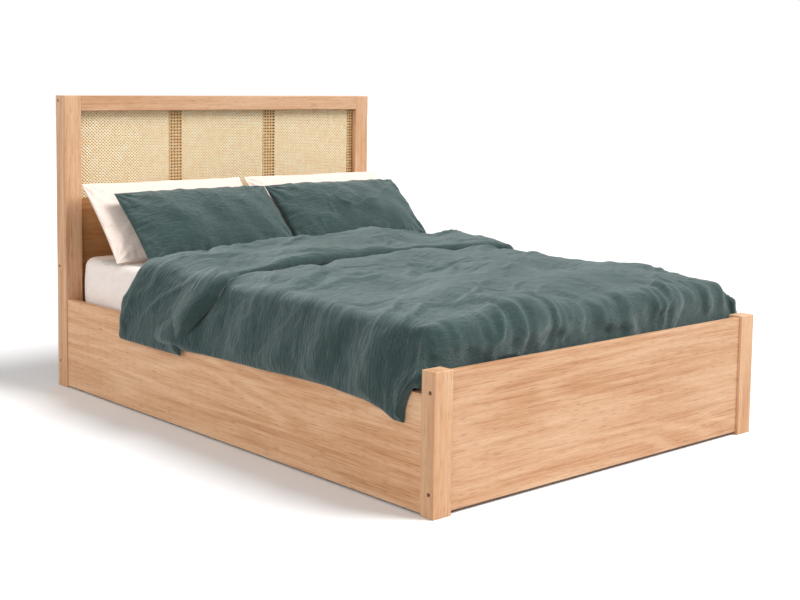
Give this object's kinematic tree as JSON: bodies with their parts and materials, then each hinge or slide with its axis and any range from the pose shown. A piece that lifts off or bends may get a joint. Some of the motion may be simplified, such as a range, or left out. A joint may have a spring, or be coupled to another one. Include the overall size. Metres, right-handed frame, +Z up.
{
  "type": "ottoman bed",
  "caption": "Oak double ottoman bed with a cane headboard, a hinged slatted base that lifts over a storage floor, mattress, duvet and pillows.",
  "frame": {"origin": "centre of the bed's outline on the floor", "axes": "+Z up, +Y towards the headboard, +X towards the right of someone who stands at the foot and looks at the headboard"},
  "size_m": [1.5194, 2.05, 1.08],
  "materials": {
    "oak": "matt lacquered light oak",
    "cane": "natural woven cane",
    "backing": "dark stained board",
    "floor_panel": "oak-effect board",
    "pine": "planed softwood",
    "slat_wood": "laminated beech, satin",
    "black_steel": "black powder coat",
    "bright_steel": "ground and plated",
    "zinc": "zinc plated",
    "plastic": "moulded black",
    "rubber_buffer": "matt",
    "webbing": "woven webbing",
    "ticking": "knitted ticking",
    "sheet_cotton": "plain cotton",
    "white_linen": "washed linen",
    "green_linen": "washed linen, dark green"
  },
  "bodies": {
    "frame": {"headboard_left_post": "oak", "headboard_right_post": "oak", "headboard_top_rail": "oak", "headboard_mid_rail": "oak", "headboard_lower_panel": "oak", "headboard_middle_back_rail": "oak", "headboard_bottom_back_rail": "oak", "footboard_panel": "oak", "foot_left_post": "oak", "foot_right_post": "oak", "side_rail_left": "oak", "side_rail_right": "oak", "cane_fields": "cane", "cane_open_bands": "cane", "headboard_backing_board": "backing", "cane_spacer_frame": "backing", "floor_board_left": "floor_panel", "floor_board_right": "floor_panel", "floor_battens": "pine", "floor_centre_beam": "pine", "centre_beam_feet": "plastic", "platform_rests": "pine", "rest_buffers": "rubber_buffer", "base_plate_left": "black_steel", "base_plate_right": "black_steel", "corner_brackets": "black_steel", "base_pivot_pins": "zinc", "base_plate_screws": "zinc", "bracket_screws": "zinc", "frame_bolts": "zinc", "barrel_nuts": "zinc"},
    "rear_arms": {"rear_arm_left": "black_steel", "rear_arm_right": "black_steel"},
    "lift_platform": {"platform_left_tube": "black_steel", "platform_right_tube": "black_steel", "platform_head_tube": "black_steel", "platform_foot_tube": "black_steel", "platform_centre_tube": "black_steel", "slats_left": "slat_wood", "slats_right": "slat_wood", "slat_caps": "plastic", "top_bracket_left": "black_steel", "top_bracket_right": "black_steel", "bracket_pivot_pins": "zinc", "mattress_stops": "black_steel", "lift_strap": "webbing", "mattress": "ticking", "fitted_sheet": "sheet_cotton", "duvet": "green_linen", "pillow_white_left": "white_linen", "pillow_white_right": "white_linen", "pillow_green_left": "green_linen", "pillow_green_right": "green_linen"},
    "front_arms": {"front_arm_left": "black_steel", "front_arm_right": "black_steel", "front_arm_pins": "zinc"},
    "strut_cylinders": {"strut_cylinder_left": "black_steel", "strut_cylinder_right": "black_steel"},
    "strut_rods": {"strut_rod_left": "bright_steel", "strut_rod_right": "bright_steel"}
  },
  "joints": [
    {"name": "rear_arm_lift", "type": "hinge", "parent": "frame", "child": "rear_arms", "pos_m": [0, 0.45556, 0.11147], "axis": [1, 0, 0], "range_deg": [0, 60]},
    {"name": "platform_tilt", "type": "hinge", "parent": "rear_arms", "child": "lift_platform", "pos_m": [0, 0.79, 0.25], "axis": [-1, 0, 0], "range_deg": [0, 90]},
    {"name": "front_arm_swing", "type": "hinge", "parent": "frame", "child": "front_arms", "pos_m": [0, 0.24927, 0.07005], "axis": [1, 0, 0], "range_deg": [0, 54]},
    {"name": "strut_cylinder_swing", "type": "hinge", "parent": "frame", "child": "strut_cylinders", "pos_m": [0, 0.68356, 0.05147], "axis": [1, 0, 0], "range_deg": [0, 12]},
    {"name": "strut_rod_turn", "type": "hinge", "parent": "rear_arms", "child": "strut_rods", "pos_m": [0, 0.54557, 0.19205], "axis": [1, 0, 0], "range_deg": [-50, 0]}
  ],
  "couplings": [
    {"joint": "rear_arm_lift", "follows": "platform_tilt", "ratio": 0.66667},
    {"joint": "front_arm_swing", "follows": "platform_tilt", "ratio": 0.592},
    {"joint": "strut_cylinder_swing", "follows": "platform_tilt", "ratio": 0.12033},
    {"joint": "strut_rod_turn", "follows": "platform_tilt", "ratio": -0.54633}
  ]
}
